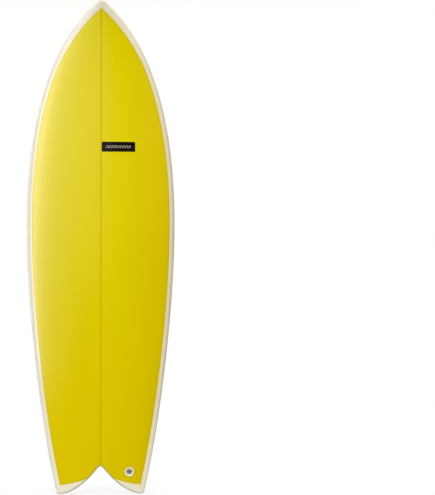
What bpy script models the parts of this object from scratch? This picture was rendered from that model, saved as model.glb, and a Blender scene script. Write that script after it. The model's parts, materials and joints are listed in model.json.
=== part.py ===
"""A swallow-tail twin-fin fish surfboard, as the separate pieces it is built from.

Axes: Z runs from the tail tips (z = 0) up to the nose, X runs across the board from its
left rail to its right rail as the deck is seen, and Y runs from the deck to the bottom.
The origin is between the two tail tips, on the floor that they stand on.
"""

import math

import bmesh
import bpy
from mathutils import Matrix, Vector

# Board, in metres: 5'10" by 21 1/8" by 2 5/8"
LENGTH = 1.778
WIDTH = 0.536
THICKNESS = 0.067
WIDE_POINT = 0.970

# Outline: one Bezier from the wide point to the nose, one from the wide point to the tail
NOSE_SHOULDER = 0.359
NOSE_HANDLE = 0.238
NOSE_ANGLE = math.radians(50.4)
NOSE_RADIUS = 0.016
TAIL_SHOULDER = 0.332
TAIL_HANDLE = 0.200
TAIL_HALF = 0.1557
TAIL_FLARE = 0.2534

# Swallow tail: the notch between the two tail tips
NOTCH_DEPTH = 0.100
NOTCH_HALF = 0.145
NOTCH_POWER = 1.9
NOTCH_APEX_RADIUS = 0.004
TAIL_CORNER = 0.0125

# Rocker of the bottom, foil of the thickness, and the rounded cross-section
LOW_POINT = 1.023
LOW_DEPTH = 0.0548
NOSE_ROCKER = (0.058, 0.044)
TAIL_ROCKER = (0.078, -0.014)
NOSE_THINNING = 0.057
TAIL_THINNING = 0.048
THICK_POINT = 0.940
APEX_SHARE = 0.69
DECK_CROWN = 2.3
BOTTOM_FLAT = 14.0
TAIL_ROUND = 0.009
TIP_ROUND = 0.010

# Laminate, and the cut laps where its colours meet
GLASS = 0.0015
GAP = 0.0003
CORE_GAP = 0.0005
DECK_LAP = 0.019
BOTTOM_LAP = 0.022
NOSE_LAP_EXTRA = 0.011
NOSE_LAP_START = 1.550
TIP_LAP = 0.0345
DECK_TIP_RISE = 0.024
BOTTOM_TIP_RISE = 0.029
TIP_LAP_POWER = 1.5
TIP_LAP_X = 0.1394
TIP_LAP_SPAN = 0.0968
STRINGER = 0.0048

# Fittings
LEASH_AT = (0.104, 0.0795)
LEASH_BED_R = 0.0175
LEASH_CUP_R = 0.0150
LEASH_HOLE_R = 0.0104
LEASH_CUP_DEPTH = 0.0165
LEASH_HOLE_DEPTH = 0.0135
LEASH_PIN_R = 0.0024
LEASH_PIN_LENGTH = 0.0255
LEASH_PIN_DEPTH = 0.0055
FIN_AT = (0.1688, 0.288)
FIN_TOE = math.radians(2.3)
FIN_BED = (0.034, 0.147, 0.0155)
FIN_BED_CORNER = 0.0165
FIN_BOX = (0.019, 0.134, 0.0135)
FIN_BOX_CORNER = 0.0090
FIN_SLOT = (0.0058, 0.110, 0.0115)
FIN_SLOT_SHIFT = -0.005
FIN_SCREW_AT = 0.061
FIN_SCREW_R = 0.0024
FIN_SCREW_LENGTH = 0.0080
FIN_SCREW_SUNK = 0.0020
FIN_SCREW_HOLE = 0.0115
HEX_R = 0.0014
HEX_DEPTH = 0.0035

# Labels: (left, right, low, high) in X and Z, and the two depths under the surface
DECK_LABEL = (0.002, 0.123, 1.235, 1.271)
BOTTOM_LABEL = (0.136, 0.184, 0.489, 0.505)
LABEL_TOP = 0.00005
LABEL_THICK = 0.0003

# Mesh fineness
CROSS_ANGLES = (0, 13, 26, 38, 49, 58, 66, 73, 79, 84.5, 90)
TAIL_ROWS = (0, 0.0008, 0.0024, 0.0050, 0.0092, 0.018, 0.032, 0.050, 0.072, 0.100, 0.135)
NOSE_ROWS = (0.105, 0.075, 0.050, 0.032, 0.020, 0.012, 0.006, 0.002, 0)
MIDDLE_ROWS = 24
ROUND = 24
CORNER_STEPS = 6

DECK = -1
BOTTOM = 1


def clear_scene():
    for item in list(bpy.data.objects):
        bpy.data.objects.remove(item, do_unlink=True)


# ---------------------------------------------------------------- the board's shape


def bezier(points, count):
    """count + 1 points along a cubic Bezier in the plane."""
    path = []
    for i in range(count + 1):
        t = i / count
        weights = ((1 - t) ** 3, 3 * t * (1 - t) ** 2, 3 * t * t * (1 - t), t**3)
        path.append(tuple(sum(w * p[axis] for w, p in zip(weights, points)) for axis in (0, 1)))
    return path


def outline_path():
    """(z, half width) pairs from the tail to the nose tip, in rising z."""
    half = WIDTH / 2
    end = (
        LENGTH - NOSE_RADIUS * (1 - math.sin(NOSE_ANGLE)),
        NOSE_RADIUS * math.cos(NOSE_ANGLE),
    )
    tail = bezier(
        (
            (0, TAIL_HALF),
            (TAIL_HANDLE, TAIL_HALF + TAIL_HANDLE * TAIL_FLARE),
            (WIDE_POINT - TAIL_SHOULDER, half),
            (WIDE_POINT, half),
        ),
        60,
    )
    nose = bezier(
        (
            (WIDE_POINT, half),
            (WIDE_POINT + NOSE_SHOULDER, half),
            (
                end[0] - NOSE_HANDLE * math.cos(NOSE_ANGLE),
                end[1] + NOSE_HANDLE * math.sin(NOSE_ANGLE),
            ),
            end,
        ),
        60,
    )
    tip = []
    for i in range(1, 13):
        angle = NOSE_ANGLE + (math.pi / 2 - NOSE_ANGLE) * i / 12
        along = LENGTH - NOSE_RADIUS * (1 - math.sin(angle))
        tip.append((along, NOSE_RADIUS * math.cos(angle)))
    return tail + nose[1:] + tip


OUTLINE = outline_path()


def half_width(z):
    for (z0, x0), (z1, x1) in zip(OUTLINE, OUTLINE[1:]):
        if z <= z1:
            return x0 + (x1 - x0) * max(0.0, (z - z0) / (z1 - z0))
    return 0.0


def tail_edge(x):
    """The height of the board's tail end at x: the notch, then the rounded corner."""
    across = math.hypot(x, NOTCH_APEX_RADIUS) - NOTCH_APEX_RADIUS
    if across < NOTCH_HALF:
        return NOTCH_DEPTH * (1 - across / NOTCH_HALF) ** NOTCH_POWER
    over = min(TAIL_CORNER, across - NOTCH_HALF)
    return TAIL_CORNER - math.sqrt(TAIL_CORNER**2 - over**2)


def column_start(u):
    """Where the column at the share u of the half width starts, on the tail end."""
    z = 0.0
    for _ in range(30):
        z = tail_edge(u * half_width(z))
    return z


def bottom_centre(z):
    if z > LOW_POINT:
        t = (z - LOW_POINT) / (LENGTH - LOW_POINT)
        return LOW_DEPTH - NOSE_ROCKER[0] * t**2 - NOSE_ROCKER[1] * t**5
    t = (LOW_POINT - z) / LOW_POINT
    return LOW_DEPTH - TAIL_ROCKER[0] * t**2 - TAIL_ROCKER[1] * t**3


def centre_thickness(z):
    if z > THICK_POINT:
        return THICKNESS - NOSE_THINNING * ((z - THICK_POINT) / (LENGTH - THICK_POINT)) ** 2.2
    return THICKNESS - TAIL_THINNING * ((THICK_POINT - z) / THICK_POINT) ** 1.9


def rounding(distance, radius):
    """1 inside the board, falling to 0 along a quarter ellipse at its edge."""
    if distance >= radius:
        return 1.0
    return math.sqrt(max(0.0, 1 - (1 - distance / radius) ** 2))


def surface_point(u, z, side):
    """The point on the deck or the bottom at the share u of the half width."""
    x = u * half_width(z)
    edge = tail_edge(x)
    slope = (tail_edge(x + 0.0005) - tail_edge(max(0.0, x - 0.0005))) / 0.001
    inside = max(0.0, z - edge) / math.hypot(1, slope)
    ends = rounding(inside, TAIL_ROUND) * rounding(LENGTH - z, TIP_ROUND)
    thickness = centre_thickness(z)
    apex = bottom_centre(z) - (1 - APEX_SHARE) * thickness
    if side == DECK:
        height = APEX_SHARE * thickness * math.sqrt(max(0.0, 1 - u**DECK_CROWN))
    else:
        height = (1 - APEX_SHARE) * thickness * math.sqrt(max(0.0, 1 - u**BOTTOM_FLAT))
    return Vector((x, apex + side * height * ends, z)), height * ends


def deck_or_bottom(x, z, side):
    return surface_point(abs(x) / half_width(z), z, side)[0].y


def lap_distance(x, z, side):
    """How far (x, z) is inside the yellow panel, negative in the cream band."""
    half = half_width(z)
    slope = (half_width(z + 0.001) - half_width(z - 0.001)) / 0.002
    inset, rise = (DECK_LAP, DECK_TIP_RISE) if side == DECK else (BOTTOM_LAP, BOTTOM_TIP_RISE)
    if side == DECK:
        share = max(0.0, (z - NOSE_LAP_START) / (LENGTH - NOSE_LAP_START))
        inset += NOSE_LAP_EXTRA * share
    from_rail = (half - x) / math.hypot(1, slope) - inset
    span = max(0.0, TIP_LAP_X - x) / TIP_LAP_SPAN
    from_tip = z - TIP_LAP - rise * span**TIP_LAP_POWER
    return min(from_rail, from_tip)


def cross_shares():
    """Shares of the half width, closer together towards the rail."""
    return [math.sin(math.radians(angle)) ** (2 / DECK_CROWN) for angle in CROSS_ANGLES]


def row_shares():
    """Shares of the length from the tail end to the nose tip, closer at both ends."""
    start, end = TAIL_ROWS[-1] / LENGTH, 1 - NOSE_ROWS[0] / LENGTH
    rows = [along / LENGTH for along in TAIL_ROWS]
    rows += [start + (end - start) * i / MIDDLE_ROWS for i in range(1, MIDDLE_ROWS)]
    return rows + [1 - along / LENGTH for along in NOSE_ROWS]


def board_mesh():
    """The whole outer surface, with each point's lap distance, height and inward offset."""
    bm = bmesh.new()
    lap = bm.verts.layers.float.new("lap")
    high = bm.verts.layers.float.new("high")
    shares, rows = cross_shares(), row_shares()
    starts = [column_start(u) for u in shares]
    found = {}

    def vertex(row, column, side, hand):
        z = starts[column] + (LENGTH - starts[column]) * rows[row]
        if row == len(rows) - 1:
            key, column = "tip", 0
        else:
            shared = row == 0 or column == len(shares) - 1
            key = (row, column, 0 if shared else side, hand if column else 0)
        if key not in found:
            point, height = surface_point(shares[column], z, side)
            found[key] = bm.verts.new((hand * point.x, point.y, point.z))
            found[key][lap] = lap_distance(point.x, z, side)
            found[key][high] = height
        return found[key]

    for row in range(len(rows) - 1):
        for column in range(len(shares) - 1):
            for side in (DECK, BOTTOM):
                for hand in (-1, 1):
                    corners = ((0, 0), (0, 1), (1, 1), (1, 0))
                    ring = [vertex(row + r, column + c, side, hand) for r, c in corners]
                    if side * hand > 0:
                        ring.reverse()
                    bm.faces.new(list(dict.fromkeys(ring)))
    bm.normal_update()
    inward = bm.verts.layers.float_vector.new("inward")
    for vert in bm.verts:
        vert[inward] = -vert.normal * vert.calc_shell_factor()
    return bm


BOARD = board_mesh()


# ---------------------------------------------------------------- cutting and thickening


def blended(bm, first, second, share, point):
    """Gives a new point the layer values between those of the edge's two ends."""
    for name in ("lap", "high"):
        layer = bm.verts.layers.float[name]
        point[layer] = first[layer] + (second[layer] - first[layer]) * share
    inward = bm.verts.layers.float_vector["inward"]
    point[inward] = first[inward].lerp(second[inward], share)


def keep_above(bm, value):
    """Cuts the mesh along the line where value(vertex) is 0, and drops what is below."""
    amounts = {vert: value(vert) for vert in bm.verts}
    for edge in list(bm.edges):
        first, second = edge.verts
        low, high = amounts[first], amounts[second]
        if low * high < 0:
            share = low / (low - high)
            point = bmesh.utils.edge_split(edge, first, share)[1]
            blended(bm, first, second, share, point)
            amounts[point] = 0.0
    for face in list(bm.faces):
        marked = [vert for vert in face.verts if amounts[vert] == 0.0]
        if len(marked) == 2:
            joined = any(marked[0] in e.verts and marked[1] in e.verts for e in face.edges)
            if not joined:
                bmesh.utils.face_split(face, marked[0], marked[1])
    below = [f for f in bm.faces if min(amounts[v] for v in f.verts) < 0]
    bmesh.ops.delete(bm, geom=below, context="FACES")


def shell(name, bm, outer, inner):
    """A closed shell between two depths under the board's surface."""
    inward = bm.verts.layers.float_vector["inward"]
    made = bmesh.new()
    tops = {v: made.verts.new(v.co + v[inward] * outer) for v in bm.verts}
    lows = {v: made.verts.new(v.co + v[inward] * inner) for v in bm.verts}
    for face in bm.faces:
        made.faces.new([tops[v] for v in face.verts])
        made.faces.new([lows[v] for v in reversed(face.verts)])
    for edge in bm.edges:
        if edge.is_boundary:
            loop = edge.link_loops[0]
            first, second = loop.vert, loop.link_loop_next.vert
            made.faces.new((tops[second], tops[first], lows[first], lows[second]))
    bm.free()
    return add_object(name, made)


def add_object(name, bm, smooth=40):
    bmesh.ops.triangulate(bm, faces=[f for f in bm.faces if len(f.verts) > 4])
    mesh = bpy.data.meshes.new(name)
    bm.to_mesh(mesh)
    bm.free()
    mesh.shade_smooth()
    mesh.set_sharp_from_angle(angle=math.radians(smooth))
    item = bpy.data.objects.new(name, mesh)
    bpy.context.scene.collection.objects.link(item)
    return item


def material(item, name, colour, roughness, metallic=0.0, coat=0.0):
    found = bpy.data.materials.get(name)
    if found is None:
        found = bpy.data.materials.new(name)
        found.use_nodes = True
        bsdf = found.node_tree.nodes["Principled BSDF"]
        bsdf.inputs["Base Color"].default_value = (*colour, 1)
        bsdf.inputs["Roughness"].default_value = roughness
        bsdf.inputs["Metallic"].default_value = metallic
        bsdf.inputs["Coat Weight"].default_value = coat
    item.data.materials.append(found)
    return item


def cut(item, cutter):
    """Takes the cutter out of the item, and leaves the cutter as a hidden helper."""
    cutter.hide_render = True
    cutter.display_type = "WIRE"
    boolean = item.modifiers.new(cutter.name, "BOOLEAN")
    boolean.operation = "DIFFERENCE"
    boolean.solver = "EXACT"
    boolean.object = cutter


# ---------------------------------------------------------------- blank and stringer


def core_slice(name, low, high):
    """The inside of the glass, kept between two planes across X."""
    bm = BOARD.copy()
    inward = bm.verts.layers.float_vector["inward"]
    for vert in bm.verts:
        vert.co += vert[inward] * (GLASS + CORE_GAP)
    for x, direction in ((low, -1), (high, 1)):
        if abs(x) > WIDTH:
            continue
        geometry = bm.verts[:] + bm.edges[:] + bm.faces[:]
        bmesh.ops.bisect_plane(
            bm, geom=geometry, plane_co=(x, 0, 0), plane_no=(direction, 0, 0), clear_outer=True
        )
        rim = [edge for edge in bm.edges if edge.is_boundary]
        bmesh.ops.edgeloop_fill(bm, edges=rim)
    bmesh.ops.recalc_face_normals(bm, faces=bm.faces)
    return add_object(name, bm)


def add_blank():
    """Two foam halves with the wooden stringer between them."""
    middle = STRINGER / 2
    left = core_slice("blank_left", -1, -middle - GAP)
    right = core_slice("blank_right", middle + GAP, 1)
    stringer = core_slice("stringer", -middle, middle)
    material(left, "foam", (0.86, 0.83, 0.74), 0.9)
    material(right, "foam", (0.86, 0.83, 0.74), 0.9)
    material(stringer, "basswood", (0.55, 0.38, 0.20), 0.6)
    return left, right


# ---------------------------------------------------------------- glass


def one_side(bm, side):
    """Keeps the deck's or the bottom's faces of a copy of the board."""
    wrong = [f for f in bm.faces if (f.normal.y > 0) != (side == BOTTOM)]
    bmesh.ops.delete(bm, geom=wrong, context="FACES")
    return bm


def panel(name, side):
    """A yellow laminate panel, from the crotch of the tail to its pointed nose end."""
    bm = one_side(BOARD.copy(), side)
    lap = bm.verts.layers.float["lap"]
    high = bm.verts.layers.float["high"]
    keep_above(bm, lambda vert: min(vert[lap], vert[high]) - GAP / 2)
    return material(shell(name, bm, 0, GLASS), "yellow_glass", (0.68, 0.58, 0.005), 0.12, coat=1)


def rail_band():
    """The cream laminate round both rails, the nose and the tail tips."""
    bm = BOARD.copy()
    lap = bm.verts.layers.float["lap"]
    keep_above(bm, lambda vert: -vert[lap] - GAP / 2)
    return material(
        shell("rail_glass", bm, 0, GLASS), "cream_glass", (0.80, 0.77, 0.66), 0.12, coat=1
    )


def label_patch(name, side, box, margin, outer, inner):
    """A thin patch that follows the board's surface inside the box (in X and Z)."""
    bm = one_side(BOARD.copy(), side)
    left, right, low, high = box
    keep_above(bm, lambda vert: vert.co.x - left + margin)
    keep_above(bm, lambda vert: right + margin - vert.co.x)
    keep_above(bm, lambda vert: vert.co.z - low + margin)
    keep_above(bm, lambda vert: high + margin - vert.co.z)
    return shell(name, bm, outer, inner)


def add_label(name, side, box, glass):
    """A printed label set flush in the glass."""
    low = LABEL_TOP + LABEL_THICK
    label = label_patch(name, side, box, 0, LABEL_TOP, low)
    material(label, "label_ink", (0.02, 0.02, 0.02), 0.3)
    cut(glass, label_patch(name + "_pocket", side, box, GAP, -0.001, low + GAP))


# ---------------------------------------------------------------- fittings


def seat(x, z, side, turn=0.0):
    """The frame of a fitting: its Z leaves the board's face, its Y points to the nose."""
    step = 0.02
    here = Vector((x, deck_or_bottom(x, z, side), z))
    along = Vector((0, deck_or_bottom(x, z + step, side) - deck_or_bottom(x, z - step, side), 2 * step))
    across = Vector((2 * step, deck_or_bottom(x + step, z, side) - deck_or_bottom(x - step, z, side), 0))
    out = along.cross(across).normalized()
    if (out.y > 0) != (side == BOTTOM):
        out.negate()
    nose = (along - along.project(out)).normalized()
    frame = Matrix((nose.cross(out), nose, out)).transposed().to_4x4()
    return Matrix.Translation(here) @ frame @ Matrix.Rotation(turn, 4, "Z")


def stadium(width, length):
    """The outline of a slot: two straight sides and two half-round ends, along Y."""
    radius, reach = width / 2, (length - width) / 2
    points = []
    for end in (1, -1):
        for i in range(ROUND // 2 + 1):
            angle = math.pi * i / (ROUND // 2) + (0 if end > 0 else math.pi)
            points.append((radius * math.cos(angle), end * reach + radius * math.sin(angle)))
    return points


def circle(radius, count=ROUND):
    turns = [2 * math.pi * i / count for i in range(count)]
    return [(radius * math.cos(t), radius * math.sin(t)) for t in turns]


def rounded_box(width, length, corner):
    """A rectangle with rounded corners, width along X and length along Y."""
    points = []
    for quarter in range(4):
        centre_x = (width / 2 - corner) * (1 if quarter in (0, 3) else -1)
        centre_y = (length / 2 - corner) * (1 if quarter in (0, 1) else -1)
        for i in range(CORNER_STEPS + 1):
            angle = math.pi / 2 * (quarter + i / CORNER_STEPS)
            points.append((centre_x + corner * math.cos(angle), centre_y + corner * math.sin(angle)))
    return points


def board_body():
    """The whole board as one hidden solid, which trims what is sanded flush with it."""
    body = add_object("board_body", BOARD.copy())
    body.hide_render = True
    body.display_type = "WIRE"
    return body


def trim(item, body):
    """Keeps only what is inside the board's surface."""
    boolean = item.modifiers.new(body.name, "BOOLEAN")
    boolean.operation = "INTERSECT"
    boolean.solver = "EXACT"
    boolean.object = body


def prism(name, frame, outline, low, high, centre=(0, 0)):
    """A solid with the given outline in the frame's XY, between two heights."""
    bm = bmesh.new()
    base = [bm.verts.new((x + centre[0], y + centre[1], low)) for x, y in outline]
    face = bm.faces.new(base)
    face.normal_flip()
    lifted = bmesh.ops.extrude_face_region(bm, geom=[face])["geom"]
    risen = [item for item in lifted if isinstance(item, bmesh.types.BMVert)]
    bmesh.ops.translate(bm, verts=risen, vec=(0, 0, high - low))
    bmesh.ops.recalc_face_normals(bm, faces=bm.faces)
    item = add_object(name, bm)
    item.matrix_world = frame
    return item


def add_leash_plug(glass, blank, body):
    """A cup with a bar across it, set in a bed of filled resin in the deck."""
    frame = seat(*LEASH_AT, DECK)
    over = 0.004
    bed_depth = LEASH_CUP_DEPTH + 0.002
    hole = prism("leash_cavity", frame, circle(LEASH_BED_R + GAP), -bed_depth - GAP, over)
    cut(glass, hole)
    cut(blank, hole)
    bed = prism("leash_bed", frame, circle(LEASH_BED_R), -bed_depth, over)
    trim(bed, body)
    cut(bed, prism("leash_bed_bore", frame, circle(LEASH_CUP_R + GAP), -LEASH_CUP_DEPTH - GAP, over))
    cup = prism("leash_cup", frame, circle(LEASH_CUP_R), -LEASH_CUP_DEPTH, 0)
    cut(cup, prism("leash_cup_bore", frame, circle(LEASH_HOLE_R), -LEASH_HOLE_DEPTH, over))
    lying = frame @ Matrix.Translation((0, 0, -LEASH_PIN_DEPTH)) @ Matrix.Rotation(math.pi / 2, 4, "Y")
    reach = LEASH_PIN_LENGTH / 2
    pin = prism("leash_pin", lying, circle(LEASH_PIN_R, 16), -reach, reach)
    bore = circle(LEASH_PIN_R + GAP, 16)
    cut(cup, prism("leash_pin_bore", lying, bore, -reach - GAP, reach + GAP))
    material(bed, "resin_fill", (0.80, 0.78, 0.70), 0.35)
    material(cup, "white_plastic", (0.82, 0.81, 0.76), 0.35)
    material(pin, "steel", (0.55, 0.55, 0.56), 0.25, metallic=1)


def add_fin_box(hand, side_name, glasses, blank, body):
    """A slotted box for one fin, in a bed of filled resin, with its set screw."""
    frame = seat(hand * FIN_AT[0], FIN_AT[1], BOTTOM, turn=-hand * FIN_TOE)
    over = 0.004
    bed_width, bed_length, bed_depth = FIN_BED
    width, length, depth = FIN_BOX
    slot_width, slot_length, slot_depth = FIN_SLOT
    cavity = rounded_box(bed_width + 2 * GAP, bed_length + 2 * GAP, FIN_BED_CORNER + GAP)
    hole = prism("fin_cavity_" + side_name, frame, cavity, -bed_depth - GAP, over)
    for layer in (*glasses, blank):
        cut(layer, hole)
    bed_outline = rounded_box(bed_width, bed_length, FIN_BED_CORNER)
    bed = prism("fin_bed_" + side_name, frame, bed_outline, -bed_depth, over)
    trim(bed, body)
    seat_outline = rounded_box(width + 2 * GAP, length + 2 * GAP, FIN_BOX_CORNER + GAP)
    cut(bed, prism("fin_seat_" + side_name, frame, seat_outline, -depth - GAP, over))
    box_outline = rounded_box(width, length, FIN_BOX_CORNER)
    box = prism("fin_box_" + side_name, frame, box_outline, -depth, 0)
    slot = stadium(slot_width, slot_length)
    cut(box, prism("fin_slot_" + side_name, frame, slot, -slot_depth, over, (0, FIN_SLOT_SHIFT)))
    at = (0, FIN_SCREW_AT)
    bore = circle(FIN_SCREW_R + GAP, 16)
    cut(box, prism("fin_bore_" + side_name, frame, bore, -FIN_SCREW_HOLE, over, at))
    head = frame @ Matrix.Translation((0, FIN_SCREW_AT, -FIN_SCREW_SUNK))
    screw = prism("fin_screw_" + side_name, head, circle(FIN_SCREW_R, 16), -FIN_SCREW_LENGTH, 0)
    cut(screw, prism("fin_hex_" + side_name, head, circle(HEX_R, 6), -HEX_DEPTH, over))
    material(bed, "resin_fill", (0.80, 0.78, 0.70), 0.35)
    material(box, "white_plastic", (0.82, 0.81, 0.76), 0.35)
    material(screw, "steel", (0.55, 0.55, 0.56), 0.25, metallic=1)


def main():
    clear_scene()
    blanks = add_blank()
    deck_glass = panel("deck_glass", DECK)
    bottom_glass = panel("bottom_glass", BOTTOM)
    rail_glass = rail_band()
    add_label("deck_label", DECK, DECK_LABEL, deck_glass)
    add_label("bottom_label", BOTTOM, BOTTOM_LABEL, bottom_glass)
    body = board_body()
    add_leash_plug(deck_glass, blanks[1], body)
    add_fin_box(-1, "left", (bottom_glass, rail_glass), blanks[0], body)
    add_fin_box(1, "right", (bottom_glass, rail_glass), blanks[1], body)
    BOARD.free()


main()
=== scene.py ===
"""The looks of a swallow-tail twin-fin surfboard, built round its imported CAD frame.

The glass skins are fine meshes of the board's own surface, cut where the colours meet and where
a fitting comes through. The fittings are turned or lofted in their own flat space, then draped
on the board, because the real ones are sanded flush with it. Units are metres: X runs across the
board, Y from the deck to the bottom, and Z from the tail to the nose.
"""

import json
import math

import bmesh
import bpy
import numpy as np
from mathutils import Matrix, Vector

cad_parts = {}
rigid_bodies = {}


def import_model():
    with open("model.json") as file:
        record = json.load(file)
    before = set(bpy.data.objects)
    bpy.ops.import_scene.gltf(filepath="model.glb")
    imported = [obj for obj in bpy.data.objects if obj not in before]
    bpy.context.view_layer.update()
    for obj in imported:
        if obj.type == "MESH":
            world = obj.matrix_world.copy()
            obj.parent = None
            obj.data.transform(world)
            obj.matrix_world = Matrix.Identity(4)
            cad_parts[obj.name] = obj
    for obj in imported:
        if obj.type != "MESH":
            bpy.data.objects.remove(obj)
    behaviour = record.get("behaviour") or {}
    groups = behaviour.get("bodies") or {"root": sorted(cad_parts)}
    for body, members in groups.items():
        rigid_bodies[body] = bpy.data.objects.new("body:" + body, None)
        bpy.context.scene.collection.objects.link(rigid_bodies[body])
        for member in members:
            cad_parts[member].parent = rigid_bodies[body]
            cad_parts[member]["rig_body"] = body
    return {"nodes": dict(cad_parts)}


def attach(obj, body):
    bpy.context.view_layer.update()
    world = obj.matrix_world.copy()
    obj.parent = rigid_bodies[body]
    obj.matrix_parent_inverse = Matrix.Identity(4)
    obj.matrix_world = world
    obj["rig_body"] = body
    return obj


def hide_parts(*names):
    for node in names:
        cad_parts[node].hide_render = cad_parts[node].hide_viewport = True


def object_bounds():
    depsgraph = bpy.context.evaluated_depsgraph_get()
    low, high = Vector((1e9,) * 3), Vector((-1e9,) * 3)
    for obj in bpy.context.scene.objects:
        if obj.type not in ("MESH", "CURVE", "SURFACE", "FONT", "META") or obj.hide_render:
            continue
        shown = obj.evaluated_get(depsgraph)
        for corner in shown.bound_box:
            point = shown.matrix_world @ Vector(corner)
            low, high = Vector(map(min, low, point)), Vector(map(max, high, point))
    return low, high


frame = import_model()
CAD_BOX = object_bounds()

# ------------------------ driving dimensions

LENGTH = CAD_BOX[1].z
HALF = CAD_BOX[1].x
THICKNESS = 0.067
WIDE_POINT = 0.970

# Outline: the curves from the wide point to the rounded nose and to the tail corners
NOSE_SHOULDER = 0.359
NOSE_HANDLE = 0.238
NOSE_ANGLE = math.radians(50.4)
NOSE_RADIUS = 0.016
TAIL_SHOULDER = 0.332
TAIL_HANDLE = 0.200
TAIL_HALF = 0.1557
TAIL_FLARE = 0.2534

# Tail end: the notch between the two tips, and the tips' outer corners
NOTCH_DEPTH = 0.100
NOTCH_HALF = 0.145
NOTCH_POWER = 1.9
NOTCH_APEX_RADIUS = 0.004
TAIL_CORNER = 0.0125

# Rocker and section: the bottom's centre line, the thickness along it, and the rounded edges
LOW_POINT = 1.023
LOW_DEPTH = 0.0548
NOSE_ROCKER = (0.058, 0.044)
TAIL_ROCKER = (0.078, -0.014)
NOSE_THINNING = 0.057
TAIL_THINNING = 0.048
THICK_POINT = 0.940
APEX_SHARE = 0.69
DECK_CROWN = 2.3
BOTTOM_FLAT = 14.0
TAIL_ROUND = 0.009
TIP_ROUND = 0.010

# Glass: its thickness, and where the cream band meets the yellow on each side
GLASS = 0.0015
DECK_LAP = 0.019
BOTTOM_LAP = 0.022
NOSE_LAP_EXTRA = 0.011
NOSE_LAP_START = 1.550
TIP_LAP = 0.0345
DECK_TIP_RISE = 0.024
BOTTOM_TIP_RISE = 0.029
TIP_LAP_POWER = 1.5
TIP_LAP_X = 0.1394
TIP_LAP_SPAN = 0.0968
STRINGER = 0.0048

# Leash plug, placed by (x, z)
LEASH_AT = (0.104, 0.0795)
LEASH_BED_R = 0.0175
LEASH_CUP_R = 0.0150
LEASH_HOLE_R = 0.0104
LEASH_CUP_DEPTH = 0.0165
LEASH_HOLE_DEPTH = 0.0135
LEASH_PIN_R = 0.0024
LEASH_PIN_LENGTH = 0.0255
LEASH_PIN_DEPTH = 0.0055

# Fin boxes, placed by (x, z), with (width, length, depth) sizes
FIN_AT = (0.1688, 0.288)
FIN_TOE = math.radians(2.3)
FIN_BED = (0.034, 0.147, 0.0155)
FIN_BED_CORNER = 0.0165
FIN_BOX = (0.019, 0.134, 0.0135)
FIN_BOX_CORNER = 0.0090
FIN_SLOT = (0.0058, 0.110, 0.0115)
FIN_SLOT_SHIFT = -0.005
FIN_SCREW_AT = 0.061
FIN_SCREW_R = 0.0024
FIN_SCREW_LENGTH = 0.0080
FIN_SCREW_SUNK = 0.0020
FIN_SCREW_HOLE = 0.0115
HEX_R = 0.0014
HEX_DEPTH = 0.0035
SEAM = 0.0003

# Labels: left, right, low and high edges
DECK_LABEL = (0.002, 0.123, 1.235, 1.271)
BOTTOM_LABEL = (0.136, 0.184, 0.489, 0.505)

# The two sides of the board
DECK = -1
BOTTOM = 1

# Mesh fineness, in points and steps
COLUMNS = 52
COLUMN_POWER = 1.3
FIRST_STEP = 0.0007
STEP_GROWTH = 0.15
LARGEST_STEP = 0.0085
OUTLINE_STEPS = 400
TIP_STEPS = 40
START_ROUNDS = 30
CUT_ROUNDS = 16
REFINEMENTS = ((0.012, 1), (0.005, 2))
SHARP_ANGLE = 28

# A distance grows by FAR on the other side of the board, and a cut keeps to edges in its reach
FAR = 1.0
CUT_REACH = 0.5
LABEL_REACH = 0.02

# ------------------------ the board's surface


def bezier(points, count):
    """count + 1 points along a cubic Bezier in the plane."""
    t = np.linspace(0, 1, count + 1)[:, None]
    weights = ((1 - t) ** 3, 3 * t * (1 - t) ** 2, 3 * t * t * (1 - t), t**3)
    return sum(w * np.array(p, float) for w, p in zip(weights, points))


def outline_path():
    """(z, half width) rows from the tail to the nose tip."""
    sine, cosine = math.sin(NOSE_ANGLE), math.cos(NOSE_ANGLE)
    end = (LENGTH - NOSE_RADIUS * (1 - sine), NOSE_RADIUS * cosine)
    tail = (
        (0, TAIL_HALF),
        (TAIL_HANDLE, TAIL_HALF + TAIL_HANDLE * TAIL_FLARE),
        (WIDE_POINT - TAIL_SHOULDER, HALF),
        (WIDE_POINT, HALF),
    )
    nose = (
        (WIDE_POINT, HALF),
        (WIDE_POINT + NOSE_SHOULDER, HALF),
        (end[0] - NOSE_HANDLE * cosine, end[1] + NOSE_HANDLE * sine),
        end,
    )
    angles = np.linspace(NOSE_ANGLE, math.pi / 2, TIP_STEPS)[1:]
    tip_z = LENGTH - NOSE_RADIUS * (1 - np.sin(angles))
    tip = np.stack((tip_z, NOSE_RADIUS * np.cos(angles)), 1)
    return np.vstack((bezier(tail, OUTLINE_STEPS), bezier(nose, OUTLINE_STEPS)[1:], tip))


OUTLINE = outline_path()


def half_width(z):
    """Half the board's width at z."""
    return np.interp(z, OUTLINE[:, 0], OUTLINE[:, 1])


def tail_edge(x):
    """The height of the board's tail end at x: the notch, then the rounded corner."""
    across = np.hypot(x, NOTCH_APEX_RADIUS) - NOTCH_APEX_RADIUS
    notch = NOTCH_DEPTH * np.clip(1 - across / NOTCH_HALF, 0, 1) ** NOTCH_POWER
    over = np.clip(across - NOTCH_HALF, 0, TAIL_CORNER)
    return notch + TAIL_CORNER - np.sqrt(TAIL_CORNER**2 - over**2)


def column_start(u):
    """Where the column at the share u of the half width starts, on the tail end."""
    z = np.zeros_like(u)
    for _ in range(START_ROUNDS):
        z = tail_edge(u * half_width(z))
    return z


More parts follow.
